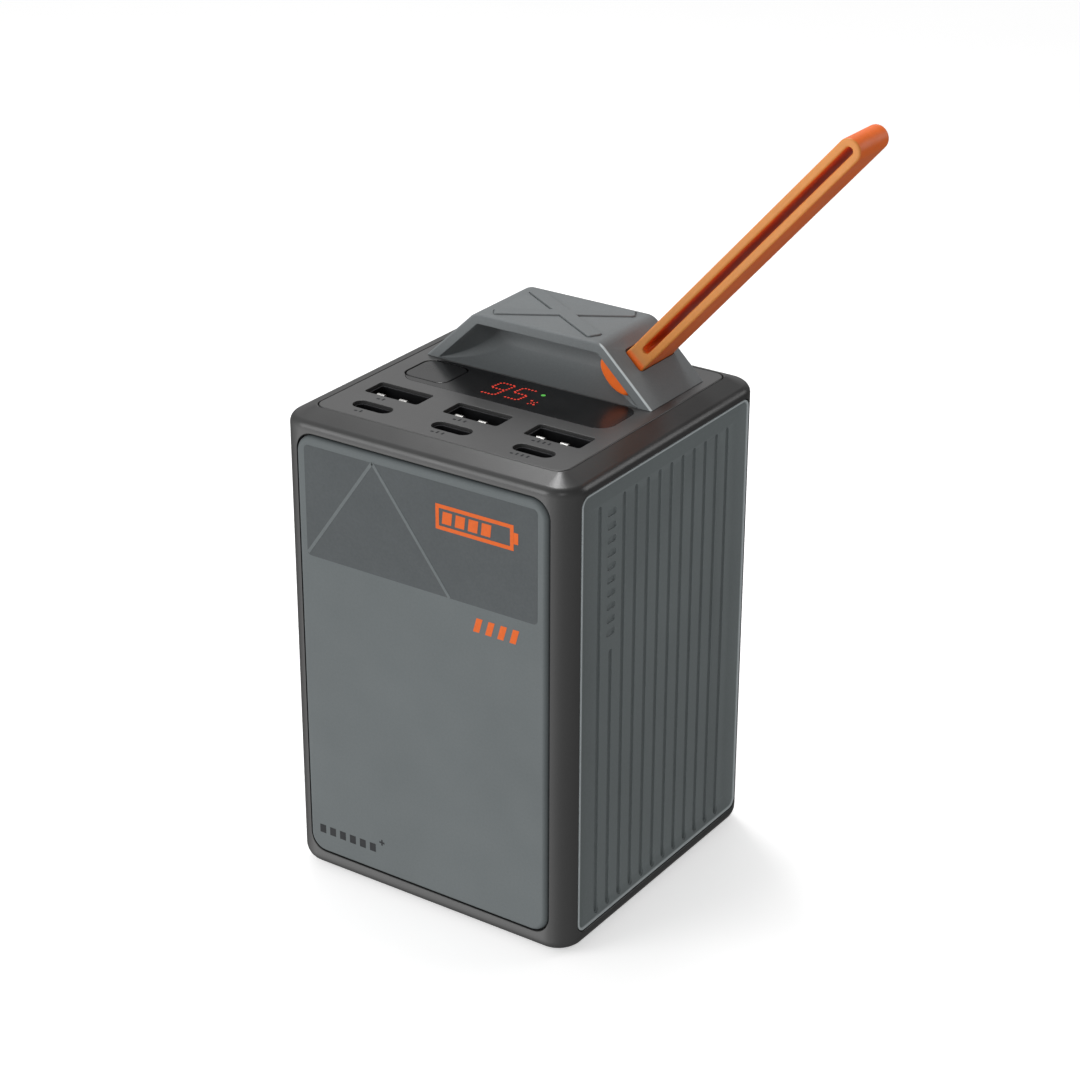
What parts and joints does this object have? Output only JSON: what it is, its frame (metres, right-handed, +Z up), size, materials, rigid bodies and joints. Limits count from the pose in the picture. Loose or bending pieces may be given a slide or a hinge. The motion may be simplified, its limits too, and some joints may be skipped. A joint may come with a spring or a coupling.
{
  "type": "power station",
  "caption": "Small camping power station: a tall battery box with ribbed sides, a deck of charging sockets, a grip bridge with a finger pocket and a moulded carrying strap.",
  "frame": {"origin": "centre of the base pad's underside, on the surface the station stands on", "axes": "+Z up, -Y towards the smooth front panel, +X towards the ribbed side that the strap leans over"},
  "size_m": [0.1069, 0.0748, 0.1728],
  "materials": {
    "frame_plastic": "fine satin moulded grain, dark grey",
    "panel_plastic": "fine matte spark texture, blue-grey, with a printed two-tone band on the front",
    "deck_plastic": "fine matte grain, neutral grey",
    "bridge_plastic": "fine matte grain, blue-grey",
    "smoked_window": "polished smoked acrylic",
    "strap_elastomer": "soft satin moulded elastomer, orange",
    "pad_rubber": "matte, lightly textured",
    "port_steel": "drawn and plated sheet",
    "stamped_steel": "plated fastener steel",
    "insulator": "moulded black insulator",
    "ferrite": "dark pressed ferrite",
    "circuit_board": "solder-masked laminate",
    "cell_pouch": "satin aluminium-laminate pouch",
    "cell_foam": "closed-cell foam",
    "nickel": "nickel strip",
    "heat_aluminium": "bright satin aluminium",
    "digit_display": "dark display block with lit red dots",
    "status_lens": "small lit green lens"
  },
  "bodies": {
    "case": {"body_frame": "frame_plastic", "front_panel": "panel_plastic", "rear_panel": "panel_plastic", "left_side_panel": "panel_plastic", "right_side_panel": "panel_plastic", "top_deck": "deck_plastic", "bottom_cover": "frame_plastic", "base_pad": "pad_rubber", "grip_bridge": "bridge_plastic", "display_window": "smoked_window", "switch_body": "stamped_steel", "display_board": "circuit_board", "digit_display": "digit_display", "status_led": "status_lens", "usb_a_shell_1": "port_steel", "usb_a_tongue_1": "insulator", "usb_c_shell_1": "port_steel", "usb_c_tongue_1": "insulator", "power_inductor_1": "ferrite", "usb_a_shell_2": "port_steel", "usb_a_tongue_2": "insulator", "usb_c_shell_2": "port_steel", "usb_c_tongue_2": "insulator", "power_inductor_2": "ferrite", "usb_a_shell_3": "port_steel", "usb_a_tongue_3": "insulator", "usb_c_shell_3": "port_steel", "usb_c_tongue_3": "insulator", "power_inductor_3": "ferrite", "main_board": "circuit_board", "protection_board": "circuit_board", "controller_chip": "insulator", "heat_spreader": "heat_aluminium", "filter_capacitor_1": "heat_aluminium", "bridge_screw_1": "stamped_steel", "filter_capacitor_2": "heat_aluminium", "bridge_screw_2": "stamped_steel", "battery_cell_1": "cell_pouch", "battery_cell_2": "cell_pouch", "battery_cell_3": "cell_pouch", "battery_cell_4": "cell_pouch", "battery_cell_5": "cell_pouch", "foam_pad_1": "cell_foam", "bottom_screw_1": "stamped_steel", "foam_pad_2": "cell_foam", "bottom_screw_2": "stamped_steel", "foam_pad_3": "cell_foam", "bottom_screw_3": "stamped_steel", "foam_pad_4": "cell_foam", "bottom_screw_4": "stamped_steel", "cell_cradle": "insulator", "cell_clamp": "insulator", "terminal_strip_positive": "nickel", "terminal_strip_negative": "nickel", "strap_anchor": "strap_elastomer"},
    "button": {"power_button": "smoked_window", "switch_plunger": "insulator"},
    "strap": {"strap_loop": "strap_elastomer"}
  },
  "joints": [
    {"name": "button_press", "type": "slide", "parent": "case", "child": "button", "axis": [0, 0, -1], "range_m": [0, 0.0006], "stiffness_N_per_m": 2500, "springref_m": -0.0002},
    {"name": "strap_swing", "type": "hinge", "parent": "case", "child": "strap", "pos_m": [0.02337, 0.0169, 0.12002], "axis": [0, 1, 0], "range_deg": [-75, 75], "stiffness_Nm_per_rad": 0.1}
  ]
}
